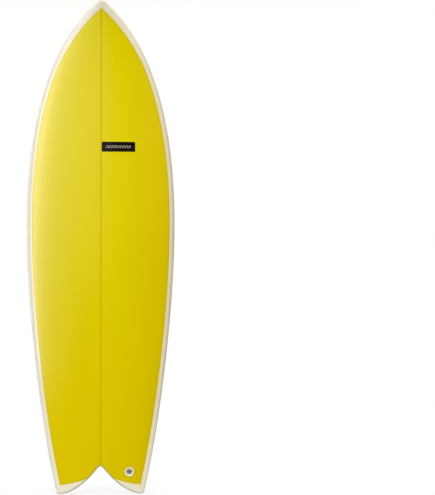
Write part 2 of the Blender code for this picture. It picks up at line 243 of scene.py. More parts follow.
def bottom_centre(z):
    """The depth of the bottom's centre line at z."""
    up = np.clip((z - LOW_POINT) / (LENGTH - LOW_POINT), 0, None)
    down = np.clip((LOW_POINT - z) / LOW_POINT, 0, None)
    nose = NOSE_ROCKER[0] * up**2 + NOSE_ROCKER[1] * up**5
    return LOW_DEPTH - nose - TAIL_ROCKER[0] * down**2 - TAIL_ROCKER[1] * down**3


def centre_thickness(z):
    """The board's thickness on its centre line at z."""
    up = np.clip((z - THICK_POINT) / (LENGTH - THICK_POINT), 0, None)
    down = np.clip((THICK_POINT - z) / THICK_POINT, 0, None)
    return THICKNESS - NOSE_THINNING * up**2.2 - TAIL_THINNING * down**1.9


def rounding(distance, radius):
    """1 inside the board, falling to 0 along a quarter ellipse at its edge."""
    return np.sqrt(np.clip(1 - np.clip(1 - distance / radius, 0, 1) ** 2, 0, 1))


def surface(u, z, side):
    """Points on the deck or the bottom at signed shares u of the half width."""
    x = u * half_width(z)
    step = 0.0005
    beyond = tail_edge(np.abs(x) + step)
    slope = (beyond - tail_edge(np.clip(np.abs(x) - step, 0, None))) / (2 * step)
    inside = np.clip(z - tail_edge(x), 0, None) / np.hypot(1, slope)
    ends = rounding(inside, TAIL_ROUND) * rounding(LENGTH - z, TIP_ROUND)
    thickness = centre_thickness(z)
    apex = bottom_centre(z) - (1 - APEX_SHARE) * thickness
    share = np.clip(np.abs(u), 0, 1)
    deck = APEX_SHARE * thickness * np.sqrt(1 - share**DECK_CROWN)
    bottom = (1 - APEX_SHARE) * thickness * np.sqrt(1 - share**BOTTOM_FLAT)
    height = np.where(side < 0, -deck, bottom) * ends
    return np.stack((x, apex + height, z), -1)


def face_y(x, z, side):
    """The depth of the deck or the bottom over a point of the outline's plane."""
    return surface(x / half_width(z), z, side)[..., 1]


def lap_distance(x, z, side):
    """How far (x, z) is inside the yellow panel, negative in the cream band."""
    x = np.abs(x)
    step = 0.001
    slope = (half_width(z + step) - half_width(z - step)) / (2 * step)
    share = np.clip((z - NOSE_LAP_START) / (LENGTH - NOSE_LAP_START), 0, None)
    inset = np.where(side > 0, BOTTOM_LAP, DECK_LAP + NOSE_LAP_EXTRA * share)
    from_rail = (half_width(z) - x) / np.hypot(1, slope) - inset
    rise = np.where(side > 0, BOTTOM_TIP_RISE, DECK_TIP_RISE)
    span = np.clip(TIP_LAP_X - x, 0, None) / TIP_LAP_SPAN
    return np.minimum(from_rail, z - TIP_LAP - rise * span**TIP_LAP_POWER)


def seat(x, z, side, turn=0.0):
    """The frame of a fitting: its Z leaves the board's face, its Y points to the nose."""
    step = 0.02

    def at(px, pz):
        return Vector((px, float(face_y(np.array(px), np.array(pz), side)), pz))

    along = at(x, z + step) - at(x, z - step)
    across = at(x + step, z) - at(x - step, z)
    out = along.cross(across).normalized()
    if (out.y > 0) != (side == BOTTOM):
        out.negate()
    nose = (along - along.project(out)).normalized()
    turned = Matrix((nose.cross(out), nose, out)).transposed().to_4x4()
    return Matrix.Translation(at(x, z)) @ turned @ Matrix.Rotation(turn, 4, "Z")


LEASH_SEAT = seat(*LEASH_AT, DECK)
FIN_SEATS = {
    name: seat(hand * FIN_AT[0], FIN_AT[1], BOTTOM, turn=-hand * FIN_TOE)
    for name, hand in (("left", -1), ("right", 1))
}


def flat_distance(points, width, length, corner):
    """Signed distance to a rounded rectangle in a fitting's plane, negative inside."""
    reach = np.abs(points[:, :2]) - (width / 2 - corner, length / 2 - corner)
    outside = np.linalg.norm(np.clip(reach, 0, None), axis=1)
    return outside + np.clip(reach.max(axis=1), None, 0) - corner


def moved(points, place):
    """Points of a fitting's flat space, where its frame puts them."""
    turn = np.array(place)
    return points @ turn[:3, :3].T + turn[:3, 3]


def in_seat(points, place):
    """World points in a fitting's flat space."""
    return moved(points, place.inverted())


# ------------------------ the fine skin


def steps_from_end(half_length):
    """Distances from one end of the board, in steps that grow away from it."""
    found = [0.0]
    while found[-1] < half_length:
        found.append(found[-1] + min(LARGEST_STEP, FIRST_STEP + STEP_GROWTH * found[-1]))
    return np.array(found) * half_length / found[-1]


def skin_grid():
    """A closed grid whose points are (signed share, row share, side); side is 0 on the edge."""
    turn = 90 * (1 - (1 - np.linspace(0, 1, COLUMNS + 1)) ** COLUMN_POWER)
    shares = np.sin(np.radians(turn)) ** (2 / DECK_CROWN)
    signed = np.concatenate((-shares[:0:-1], shares))
    half = steps_from_end(LENGTH / 2) / LENGTH
    rows = np.concatenate((half, 1 - half[-2::-1]))
    bm = bmesh.new()
    found = {}

    def vertex(row, column, side):
        if row == len(rows) - 1:
            key = "tip"
        elif row == 0 or column in (0, len(signed) - 1):
            key, side = (row, column), 0
        else:
            key = (row, column, side)
        if key not in found:
            share = 0.0 if key == "tip" else signed[column]
            found[key] = bm.verts.new((share, rows[row], 0 if key == "tip" else side))
        return found[key]

    for row in range(len(rows) - 1):
        for column in range(len(signed) - 1):
            for side in (DECK, BOTTOM):
                corners = ((0, 0), (0, 1), (1, 1), (1, 0))
                ring = [vertex(row + r, column + c, side) for r, c in corners]
                if side == BOTTOM:
                    ring.reverse()
                bm.faces.new(list(dict.fromkeys(ring)))
    return bm


STARTS_AT = np.linspace(0, 1, 801)
STARTS = column_start(STARTS_AT)


def plan(grid_points):
    """(x, z, side) of grid points."""
    share, row, side = grid_points.T
    start = np.interp(np.abs(share), STARTS_AT, STARTS)
    z = start + (LENGTH - start) * row
    return share * half_width(z), z, np.where(side > 0, BOTTOM, DECK)


def world(grid_points):
    """Where grid points are on the board's surface."""
    _, z, side = plan(grid_points)
    return surface(grid_points[:, 0], z, side)


def grid_array(verts):
    """The places of mesh points, as an array."""
    return np.array([v.co for v in verts], float).reshape(-1, 3)


def face_middles(faces):
    """The middle of each face, as an array."""
    return np.array([f.calc_center_median() for f in faces], float).reshape(-1, 3)


def refine(bm, distance, reach, cuts):
    """Divides the faces where distance(middle) is under reach."""
    faces = list(bm.faces)
    near = distance(face_middles(faces)) < reach
    edges = {edge for face, chosen in zip(faces, near) if chosen for edge in face.edges}
    bmesh.ops.subdivide_edges(bm, edges=list(edges), cuts=cuts, use_grid_fill=True)


def score(bm, level, reach=math.inf):
    """Cuts new edges into the skin along the line where level(points) is 0."""
    bm.verts.index_update()
    amounts = level(grid_array(bm.verts))
    edges = [
        edge
        for edge in bm.edges
        if amounts[edge.verts[0].index] * amounts[edge.verts[1].index] < 0
        and abs(amounts[edge.verts[0].index]) < reach
    ]
    first = grid_array([edge.verts[0] for edge in edges])
    last = grid_array([edge.verts[1] for edge in edges])
    low, high = np.zeros(len(edges)), np.ones(len(edges))
    rising = level(last) > 0
    for _ in range(CUT_ROUNDS):
        middle = (low + high) / 2
        above = (level(first + (last - first) * middle[:, None]) > 0) == rising
        low, high = np.where(above, low, middle), np.where(above, middle, high)
    marked = {vert for vert, amount in zip(bm.verts, amounts) if amount == 0}
    for edge, share in zip(edges, (low + high) / 2):
        marked.add(bmesh.utils.edge_split(edge, edge.verts[0], float(share))[1])
    for face in list({face for vert in marked for face in vert.link_faces}):
        ends = [vert for vert in face.verts if vert in marked]
        if len(ends) == 2 and not any(set(ends) == set(edge.verts) for edge in face.edges):
            bmesh.utils.face_split(face, ends[0], ends[1])


def bed_distance(place, size, corner, side):
    """The function of grid points that gives the signed distance to a fitting's bed."""

    def distance(points):
        local = in_seat(world(points), place)
        return flat_distance(local, *size, corner) + np.where(points[:, 2] * side > 0, 0, FAR)

    return distance


def label_distance(box, side):
    """The function of grid points that gives the signed distance to a label."""

    def distance(points):
        x, z, _ = plan(points)
        left, right, low, high = box
        away = np.maximum(np.maximum(left - x, x - right), np.maximum(low - z, z - high))
        return away + np.where(points[:, 2] * side > 0, 0, FAR)

    return distance


FITTINGS = {
    "leash": bed_distance(LEASH_SEAT, (2 * LEASH_BED_R, 2 * LEASH_BED_R), LEASH_BED_R, DECK),
    "fin_left": bed_distance(FIN_SEATS["left"], FIN_BED[:2], FIN_BED_CORNER, BOTTOM),
    "fin_right": bed_distance(FIN_SEATS["right"], FIN_BED[:2], FIN_BED_CORNER, BOTTOM),
}
LABELS = {
    "deck_label": (DECK_LABEL, DECK),
    "bottom_label": (BOTTOM_LABEL, BOTTOM),
}


def score_label(bm, box, side):
    """Four straight cuts that meet in the label's corners, each kept near the label."""
    distance = label_distance(box, side)
    for axis, sign, value in ((0, 1, box[0]), (0, -1, box[1]), (1, 1, box[2]), (1, -1, box[3])):

        def level(points):
            near = distance(points) < LABEL_REACH
            return np.where(near, (plan(points)[axis] - value) * sign, FAR)

        score(bm, level, CUT_REACH)


def lap_level(points):
    """How far grid points are inside the yellow panel."""
    return lap_distance(*plan(points))


def scored_skin():
    """The skin's grid, finer round the fittings and cut along every line between two parts."""
    bm = skin_grid()
    for distance in FITTINGS.values():
        for reach, cuts in REFINEMENTS:
            refine(bm, distance, reach, cuts)
    for box, side in LABELS.values():
        score_label(bm, box, side)
    score(bm, lap_level)
    for distance in FITTINGS.values():
        score(bm, distance, CUT_REACH)
    return bm


class Skin:
    """The scored outer surface: points, normals, faces, and the part each face belongs to."""

    def __init__(self):
        bm = scored_skin()
        bm.verts.index_update()
        self.grid = grid_array(bm.verts)
        self.points = world(self.grid)
        self.lap = lap_level(self.grid)
        self.fitting = np.min([distance(self.grid) for distance in FITTINGS.values()], axis=0)
        self.faces = [[vert.index for vert in face.verts] for face in bm.faces]
        middles = face_middles(bm.faces)
        bm.free()
        mesh = bpy.data.meshes.new("skin")
        mesh.from_pydata(self.points.tolist(), [], self.faces)
        normals = np.empty(len(self.points) * 3)
        mesh.vertex_normals.foreach_get("vector", normals)
        self.normals = normals.reshape(-1, 3)
        bpy.data.meshes.remove(mesh)
        self.part = self.sort(middles)

    def sort(self, middles):
        """The name of the part that each face belongs to."""
        yellow = np.where(middles[:, 2] > 0, "bottom_glass", "deck_glass")
        part = np.where(lap_level(middles) > 0, yellow, "rail_glass").astype(object)
        for name, (box, side) in LABELS.items():
            part[label_distance(box, side)(middles) < 0] = name
        for name, distance in FITTINGS.items():
            part[distance(middles) < 0] = name
        return part

    def around(self):
        """A length round the section from the rail, for patterns that wrap over the rail."""
        share = np.linspace(0, 1, 2001)
        wide = np.full_like(share, WIDE_POINT)
        lengths = {}
        for side in (DECK, BOTTOM):
            path = surface(np.sin(share * math.pi / 2), wide, side)
            steps = np.linalg.norm(np.diff(path, axis=0), axis=1)
            gone = np.concatenate(([0], np.cumsum(steps)))
            lengths[side] = (gone[-1] - gone) * (1 if side == DECK else -1)
        turned = np.arcsin(np.clip(np.abs(self.grid[:, 0]), 0, 1)) / (math.pi / 2)
        deck, bottom = (np.interp(turned, share, lengths[side]) for side in (DECK, BOTTOM))
        local = half_width(self.points[:, 2]) / HALF
        return np.where(self.grid[:, 2] < 0, deck, bottom) * np.clip(local, 0.05, 1)


def shell(name, skin, part, thickness):
    """A closed shell of one part of the skin, whose normals run on into its neighbours."""
    faces = [face for face, owner in zip(skin.faces, skin.part) if owner == part]
    used = sorted({index for face in faces for index in face})
    place = {index: i for i, index in enumerate(used)}
    outer = skin.points[used]
    normals = skin.normals[used]
    points = np.vstack((outer, outer - normals * thickness))
    count = len(used)
    tops = [[place[i] for i in face] for face in faces]
    lows = [[i + count for i in reversed(face)] for face in tops]
    pairs = {(a, b) for face in tops for a, b in zip(face, face[1:] + face[:1])}
    rims = [[b, a, a + count, b + count] for a, b in sorted(pairs) if (b, a) not in pairs]
    mesh = bpy.data.meshes.new(name)
    mesh.from_pydata(points.tolist(), [], tops + lows + rims)
    mesh.shade_smooth()
    smooth = np.vstack((normals, -normals))
    flat = np.empty(len(mesh.polygons) * 3)
    mesh.polygons.foreach_get("normal", flat)
    flat = flat.reshape(-1, 3)
    loops = [smooth[i] for face in tops + lows for i in face]
    loops += [flat[len(tops) + len(lows) + n] for n in range(len(rims)) for _ in range(4)]
    mesh.normals_split_custom_set(np.array(loops).tolist())
    for label, values in (("lap", skin.lap), ("around", skin.around()), ("fitting", skin.fitting)):
        store(mesh, label, np.tile(values[used], 2))
    return place_piece(name, mesh)


def store(mesh, label, values):
    """Keeps a number for each point of a mesh, for the materials."""
    layer = mesh.attributes.get(label) or mesh.attributes.new(label, "FLOAT", "POINT")
    layer.data.foreach_set("value", values.astype(np.float32))


def place_piece(name, mesh):
    """A new object of the mesh, in the scene."""
    item = bpy.data.objects.new(name, mesh)
    bpy.context.scene.collection.objects.link(item)
    return item


# ------------------------ fittings


def lift(points, place, side):
    """How far the board's curved face is over a fitting's plane, at points of its flat space."""
    turn = np.array(place)
    over = moved(points * (1, 1, 0), place)
    return (face_y(over[:, 0], over[:, 2], side) - over[:, 1]) * turn[1, 2]


def drape(points, place, side):
    """Points of a fitting's flat space, moved on to the curved face of the board."""
    return moved(points, place) + np.outer(lift(points, place, side), np.array(place)[:3, 2])


def rectangle_ring(width, length, corner, height, shift=0.0):
    """A rounded rectangle at one height, with points along its long sides as well."""
    reach_x, reach_y = width / 2 - corner, length / 2 - corner
    steps, sides = 10, 14
    points = []
    for quarter, (sx, sy) in enumerate(((1, 1), (-1, 1), (-1, -1), (1, -1))):
        for i in range(steps + 1):
            angle = math.pi / 2 * (quarter + i / steps)
            x = sx * reach_x + corner * math.cos(angle)
            points.append((x, sy * reach_y + corner * math.sin(angle)))
        if quarter in (1, 3):
            for i in range(1, sides):
                points.append((sx * width / 2, -sy * reach_y * (2 * i / sides - 1)))
    return np.array([(x, y + shift, height) for x, y in points])


def circle_ring(reach, height, count):
    """A ring at one height, whose reach is a radius or a function of the angle."""
    turns = np.arange(count) * 2 * math.pi / count
    reach = reach(turns) if callable(reach) else reach
    return np.stack((reach * np.cos(turns), reach * np.sin(turns), np.full(count, height)), 1)


def blends(first, last, count):
    """The rings between two rings, in count steps."""
    return [first + (last - first) * i / count for i in range(1, count)]


def loft(name, rings, move, sharp=SHARP_ANGLE):
    """A closed piece through rings of points, capped at both ends, in place on the board."""
    flat = np.vstack(rings)
    size = len(rings[0])
    faces = [list(range(size))[::-1]]
    for ring in range(len(rings) - 1):
        for i in range(size):
            j = (i + 1) % size
            base, top = ring * size, (ring + 1) * size
            faces.append([base + i, base + j, top + j, top + i])
    faces.append([(len(rings) - 1) * size + i for i in range(size)])
    mesh = bpy.data.meshes.new(name)
    mesh.from_pydata(move(flat).tolist(), [], faces)
    mesh.shade_smooth()
    mesh.set_sharp_from_angle(angle=math.radians(sharp))
    store(mesh, "depth", -flat[:, 2])
    return place_piece(name, mesh)


def lathe(name, profile, count, move):
    """A closed piece turned from (radius, height) points, with count points in each ring."""
    return loft(name, [circle_ring(radius, height, count) for radius, height in profile], move)


def quarter_circle(count):
    """(1 - sine, 1 - cosine) at count steps of a quarter circle."""
    angles = [math.pi / 2 * i / count for i in range(1, count + 1)]
    return [(1 - math.sin(angle), 1 - math.cos(angle)) for angle in angles]


def leash_bed_profile():
    """The ring of resin, from the foot of its outer wall over the flat top to the foot inside."""
    bevel, flats = 0.0001, 0.0006
    inner = LEASH_CUP_R + SEAM
    profile = [(LEASH_BED_R, -LEASH_CUP_DEPTH - 0.002), (LEASH_BED_R, -bevel), (LEASH_BED_R - bevel, 0)]
    profile += [(LEASH_BED_R - flats * i, 0) for i in (1, 2, 3)]
    return profile + [(inner, -2 * bevel), (inner, -LEASH_CUP_DEPTH - SEAM)]


def leash_cup_profile():
    """The cup, from the foot of its wall over the rounded brim to the middle of its floor."""
    lip, fillet, crown = 0.0014, 0.0030, 0.00012
    profile = [(LEASH_CUP_R, -LEASH_CUP_DEPTH), (LEASH_CUP_R, -0.0006)]
    profile += [(LEASH_CUP_R - 0.0002, -0.0002), (LEASH_CUP_R - 0.0007, 0.0)]
    profile += [(LEASH_CUP_R - 0.0019, crown), (LEASH_HOLE_R + 0.0018, crown)]
    profile += [(LEASH_HOLE_R + lip * s, -lip * c) for s, c in quarter_circle(8)]
    profile += [(LEASH_HOLE_R - 0.0003 * i, -0.0035 - 0.0022 * i) for i in range(4)]
    inner = LEASH_HOLE_R - 0.0010
    profile += [(inner - fillet * c, -LEASH_HOLE_DEPTH + fillet * s) for s, c in quarter_circle(8)]
    return profile + [(inner * share, -LEASH_HOLE_DEPTH) for share in (0.45, 0.2)]


def leash_pin_profile():
    """The bar, with a small chamfer at each end."""
    chamfer, inset = 0.0004, 0.002
    reach = LEASH_PIN_LENGTH / 2
    profile = [(LEASH_PIN_R - chamfer, -reach), (LEASH_PIN_R, -reach + chamfer)]
    profile += [(LEASH_PIN_R, h) for h in np.linspace(-reach + inset, reach - inset, 12)]
    return profile + [(LEASH_PIN_R, reach - chamfer), (LEASH_PIN_R - chamfer, reach)]


def leash_pieces():
    """The bed of resin, the turned cup and the bar of the leash plug."""
    lying = Matrix.Translation((0, 0, -LEASH_PIN_DEPTH)) @ Matrix.Rotation(math.pi / 2, 4, "Y")

    def sink(points):
        return drape(points, LEASH_SEAT, DECK)

    def lay(points):
        return moved(points, LEASH_SEAT @ lying)

    return {
        "leash_bed": lathe("leash_bed_resin", leash_bed_profile(), 72, sink),
        "leash_cup": lathe("leash_cup_moulding", leash_cup_profile(), 96, sink),
        "leash_pin": lathe("leash_bar", leash_pin_profile(), 40, lay),
    }


def hexagon(radius):
    """The reach of a hexagon whose corners are at the radius, as a function of the angle."""
    sixth = math.pi / 3
    return lambda turns: radius * math.cos(sixth / 2) / np.cos(np.mod(turns, sixth) - sixth / 2)


def screw_rings():
    """A threaded set screw with a hex socket, from its cup point to its socket's floor."""
    count, pitch, depth, chamfer = 48, 0.0008, 0.00028, 0.0005
    heights = np.arange(0, FIN_SCREW_LENGTH + 1e-6, pitch / 8) - FIN_SCREW_LENGTH

    def thread(height):
        ends = min(1.0, (height + FIN_SCREW_LENGTH) / chamfer, -height / chamfer)

        def reach(turns):
            wave = np.abs(2 * np.mod(height / pitch - turns / (2 * math.pi), 1) - 1)
            return FIN_SCREW_R - depth * wave - (1 - ends) * depth * 1.2 * (1 - wave)

        return reach

    profile = [(0.0008, -FIN_SCREW_LENGTH + chamfer), (0.0016, -FIN_SCREW_LENGTH)]
    profile += [(thread(height), height) for height in heights]
    profile += [(HEX_R + 0.00022, 0), (hexagon(HEX_R), -0.00015), (hexagon(HEX_R), -HEX_DEPTH)]
    profile += [(HEX_R * 0.3, -HEX_DEPTH - 0.0004)]
    return [circle_ring(reach, height, count) for reach, height in profile]


def cut_hole(item, rings, place, side):
    """Takes a lofted cutter out of a draped piece, and drops the cutter."""
    cutter = loft(item.name + "_cutter", rings, lambda points: drape(points, place, side))
    boolean = item.modifiers.new("hole", "BOOLEAN")
    boolean.operation = "DIFFERENCE"
    boolean.solver = "EXACT"
    boolean.object = cutter
    bpy.context.view_layer.update()
    evaluated = item.evaluated_get(bpy.context.evaluated_depsgraph_get())
    made = bpy.data.meshes.new_from_object(evaluated)
    item.modifiers.clear()
    item.data = made
    points = in_seat(np.array([vert.co for vert in made.vertices]), place)
    store(made, "depth", lift(points, place, side) - points[:, 2])
    made.shade_smooth()
    made.set_sharp_from_angle(angle=math.radians(SHARP_ANGLE))
    bpy.data.objects.remove(cutter, do_unlink=True)


def fin_pieces(name):
    """The bed of resin, the slotted box and the set screw of one fin."""
    place = FIN_SEATS[name]
    bed_width, bed_length, bed_depth = FIN_BED
    width, length, depth = FIN_BOX
    slot_width, slot_length, slot_depth = FIN_SLOT
    bevel, dip = 0.0006, 0.00015
    edge = rectangle_ring(bed_width, bed_length, FIN_BED_CORNER, 0)
    mouth = rectangle_ring(width + 2 * SEAM, length + 2 * SEAM, FIN_BOX_CORNER + SEAM, -dip)
    bed = [edge - (0, 0, bed_depth), edge, *blends(edge, mouth, 5), mouth]
    bed += [mouth - (0, 0, depth + SEAM)]

    def sink(points):
        return drape(points, place, BOTTOM)

    def wall(inset, height):
        return rectangle_ring(width - 2 * inset, length - 2 * inset, FIN_BOX_CORNER - inset, height)

    def slot(outset, height):
        radius = slot_width / 2 + outset
        return rectangle_ring(2 * radius, slot_length + 2 * outset, radius, height, FIN_SLOT_SHIFT)

    rim, lip = wall(bevel, 0.0), slot(bevel, 0.0)
    box = [wall(0, -depth), wall(0, -0.0005), wall(bevel / 3, -dip), rim]
    box += [*blends(rim, lip, 5), lip, slot(bevel / 3, -dip), slot(0, -bevel)]
    box += [slot(-0.0002, -slot_depth)]
    body = loft(f"fin_box_{name}_moulding", box, sink)
    bore = FIN_SCREW_R + SEAM
    sunk = [(bore, -FIN_SCREW_HOLE), (bore, -0.0012), (bore + 0.0010, -0.0002), (bore + 0.0013, 0.002)]
    cutter = [circle_ring(reach, height, 48) + (0, FIN_SCREW_AT, 0) for reach, height in sunk]
    cut_hole(body, cutter, place, BOTTOM)
    head = place @ Matrix.Translation((0, FIN_SCREW_AT, -FIN_SCREW_SUNK))
    screw = loft(f"fin_screw_{name}_steel", screw_rings(), lambda points: moved(points, head), sharp=50)
    return {
        f"fin_bed_{name}": loft(f"fin_bed_{name}_resin", bed, sink),
        f"fin_box_{name}": body,
        f"fin_screw_{name}": screw,
    }


# ------------------------ materials


class Nodes:
    """A node tree, with short calls for the nodes used here."""

    def __init__(self, tree):
        self.tree = tree

    def new(self, kind, *values):
        """A node whose first inputs are the values."""
        node = self.tree.nodes.new("ShaderNode" + kind)
        for socket, value in zip(node.inputs, values):
            self.put(socket, value)
        return node

    def put(self, socket, value):
        """Links a socket to another, or gives it a number or a colour."""
        if isinstance(value, bpy.types.NodeSocket):
            self.tree.links.new(value, socket)
        elif isinstance(value, tuple) and len(socket.default_value) == 4:
            socket.default_value = (*value, 1)
        else:
            socket.default_value = value

    def attribute(self, name):
        """A number stored on the mesh by store()."""
        node = self.new("Attribute")
        node.attribute_name = name
        return node.outputs["Fac"]

    def place(self):
        """The shaded point, in the object's space."""
        return self.new("TexCoord").outputs["Object"]

    def axes(self):
        """Its x, y and z."""
        return self.new("SeparateXYZ", self.place()).outputs

    def math(self, operation, *values):
        node = self.new("Math", *values)
        node.operation = operation
        return node.outputs[0]

    def times(self, *values):
        return self.math("MULTIPLY", *values)

    def plus(self, *values):
        return self.math("ADD", *values)

    def minus(self, *values):
        return self.math("SUBTRACT", *values)

    def between(self, low, value, high):
        return self.math("MINIMUM", self.math("MAXIMUM", value, low), high)

    def ramp(self, value, start, end, low=0.0, high=1.0):
        """A smooth step from low at start to high at end."""
        node = self.new("MapRange", value, start, end, low, high)
        node.interpolation_type = "SMOOTHSTEP"
        return node.outputs[0]

    def mix(self, share, first, second, blend="MIX"):
        """The first colour, with a share of the second laid over it."""
        node = self.new("Mix")
        node.data_type = "RGBA"
        node.blend_type = blend
        self.put(node.inputs["Factor"], share)
        self.put(node.inputs[6], first)
        self.put(node.inputs[7], second)
        return node.outputs[2]

    def filtered(self, colour, tint):
        """A colour seen through a tint."""
        return self.mix(1.0, colour, tint, "MULTIPLY")

    def noise(self, scale, detail, stretch=(1, 1, 1)):
        """Cloudy noise, with about scale times stretch blotches to the metre along each axis."""
        mapping = self.new("Mapping", self.place())
        mapping.inputs["Scale"].default_value = stretch
        node = self.new("TexNoise", mapping.outputs[0])
        node.inputs["Scale"].default_value = scale
        node.inputs["Detail"].default_value = detail
        return node.outputs["Fac"]

    def wave(self, value, pitch):
        """A sine along value with the given pitch, between -1 and 1."""
        return self.math("SINE", self.times(value, 2 * math.pi / pitch))

    def turned_away(self):
        """0 where the surface faces the viewer, 1 where it is seen edge on."""
        return self.new("LayerWeight", 0.5).outputs["Facing"]

    def bump(self, height, distance, strength):
        """A normal bent as if the surface rose by the distance where height is 1."""
        node = self.new("Bump", strength, distance)
        self.put(node.inputs["Height"], height)
        return node.outputs[0]


class Look(Nodes):
    """A new material and its shader."""

    def __init__(self, name):
        self.material = bpy.data.materials.new(name)
        self.material.use_nodes = True
        super().__init__(self.material.node_tree)
        self.shader = self.tree.nodes["Principled BSDF"]

    def finish(self, **values):
        """Sets the shader's inputs, named with _ for each space, and returns the material."""
        for name, value in values.items():
            self.put(self.shader.inputs[name.replace("_", " ")], value)
        return self.material

    def glow(self, colour, strength, solid):
        """Shines with the colour instead of being lit, and is clear where solid falls to 0."""
        shine, clear = self.new("Emission", colour, strength), self.new("BsdfTransparent")
        mixed = self.new("MixShader", solid, clear.outputs[0], shine.outputs[0])
        self.put(self.tree.nodes["Material Output"].inputs["Surface"], mixed.outputs[0])
        return self.material


YELLOW = (0.690, 0.590, 0.0)
# The tail tone is painted shade and the nose tone painted light, for the light falling off down the
# standing board
YELLOW_TAIL_SHADE = (0.655, 0.518, 0.0)
YELLOW_NOSE_LIT = (0.760, 0.648, 0.0)
YELLOW_CLOUD = (0.955, 0.945, 1.0)
YELLOW_CLOTH = (0.72, 0.62, 0.03)
LAP_LINE = (0.44, 0.36, 0.02)
FITTING_RING_TONE = (0.42, 0.35, 0.02)
WOOD_DARK = (0.77, 0.70, 1.0)
WOOD_PALE = (0.86, 0.80, 1.0)
CREAM = (0.800, 0.780, 0.660)
CREAM_CLOUD = (0.775, 0.745, 0.640)
CREAM_CLOTH = (0.70, 0.66, 0.54)
CREAM_BLEED = (0.84, 0.75, 0.37)
# Painted shade for the cream where it is seen edge on
CREAM_EDGE_SHADE = (0.72, 0.68, 0.60)
INK_DARK = (0.003, 0.002, 0.002)
INK_PALE = (0.009, 0.006, 0.006)
PRINT = (0.62, 0.60, 0.50)
BUBBLE = (0.80, 0.78, 0.74)
CLOTH_PITCH = 0.0028


def weave(nodes, across, along):
    """Plain-weave cloth under the resin, from 0 to 1."""
    product = nodes.times(nodes.wave(across, CLOTH_PITCH), nodes.wave(along, CLOTH_PITCH))
    return nodes.math("MULTIPLY_ADD", product, 0.5, 0.5)


def laminate(nodes, tint, cloth):
    """The tinted cloth, under a polished gloss coat with hand-rubbed waves and fine hazing."""
    haze = nodes.noise(9, 4, stretch=(1, 1, 0.35))
    swirl = nodes.noise(620, 2)
    waves = nodes.noise(11, 2, stretch=(1, 1, 0.5))
    height = nodes.plus(waves, nodes.times(swirl, 0.004))
    return nodes.finish(
        Base_Color=tint,
        Coat_Weight=nodes.ramp(nodes.turned_away(), 0.2, 0.75, low=1.0, high=0.25),
        Coat_IOR=1.5,
        Coat_Roughness=nodes.math("MULTIPLY_ADD", haze, 0.05, 0.02),
        Coat_Normal=nodes.bump(height, 0.0006, 0.6),
        Specular_IOR_Level=0.0,
        Roughness=0.45,
        Normal=nodes.bump(cloth, 0.00006, 0.5),
    )


def stringer_mask(nodes, x):
    """1 over the stringer, whose edges the tint softens."""
    away = nodes.math("ABSOLUTE", x)
    return nodes.ramp(away, STRINGER / 2 + 0.0006, STRINGER / 2 - 0.0004)


def yellow_material(name, plus_x_shade, high):
    """Yellow resin tint, darker and warmer towards the tail as painted shade and lighter towards the
    nose as painted light; its green falls towards +X as a painted shade on that side.
    """
    nodes = Look(name)
    x, _, z = nodes.axes()
    # Painted shade towards the tail, then painted light towards the nose in the high tone
    tint = nodes.mix(nodes.ramp(z, 0.9, 0.0), YELLOW, YELLOW_TAIL_SHADE)
    tint = nodes.mix(nodes.ramp(z, 0.7, 1.7), tint, high)
    # Painted shade: the +X side of the yellow is darker and warmer
    plus_x_shaded = nodes.filtered(tint, (1.0 - plus_x_shade / 2, 1.0 - plus_x_shade, 1.0))
    tint = nodes.mix(nodes.ramp(x, 0.04, 0.24), tint, plus_x_shaded)
    clouds = nodes.noise(5, 5, stretch=(1, 1, 0.3))
    tint = nodes.mix(nodes.ramp(clouds, 0.35, 0.75), tint, nodes.filtered(tint, YELLOW_CLOUD))
    cloth = weave(nodes, nodes.attribute("around"), z)
    tint = nodes.mix(nodes.times(cloth, 0.035), tint, YELLOW_CLOTH)
    wood = nodes.mix(nodes.noise(60, 4, stretch=(9, 1, 0.25)), WOOD_DARK, WOOD_PALE)
    tint = nodes.mix(stringer_mask(nodes, x), tint, nodes.filtered(tint, wood))
    wander = nodes.times(nodes.noise(26, 3), 0.0014)
    line = nodes.ramp(nodes.plus(nodes.attribute("lap"), wander), 0.0046, 0.0024)
    tint = nodes.mix(nodes.times(line, 0.62), tint, LAP_LINE)
    # A darker olive ring round each fitting
    ring = nodes.ramp(nodes.attribute("fitting"), 0.0070, 0.0006)
    return laminate(nodes, nodes.mix(nodes.times(ring, 0.4), tint, FITTING_RING_TONE), cloth)


def cream_material():
    """Cream resin tint over cloth, yellowed near the laps, with painted shade that darkens it where it
    turns away.
    """
    nodes = Look("cream_laminate")
    _, _, z = nodes.axes()
    clouds = nodes.noise(14, 5, stretch=(1, 1, 0.4))
    tint = nodes.mix(nodes.ramp(clouds, 0.3, 0.7), CREAM, CREAM_CLOUD)
    cloth = weave(nodes, nodes.attribute("around"), z)
    tint = nodes.mix(nodes.times(cloth, 0.10), tint, CREAM_CLOTH)
    bleed = nodes.ramp(nodes.attribute("lap"), -0.0095, -0.001)
    tint = nodes.mix(nodes.times(bleed, 0.85), tint, CREAM_BLEED)
    # Painted shade: the cream darkens where the surface is seen edge on
    away = nodes.ramp(nodes.turned_away(), 0.05, 0.5)
    return laminate(nodes, nodes.mix(away, tint, nodes.filtered(tint, CREAM_EDGE_SHADE)), cloth)


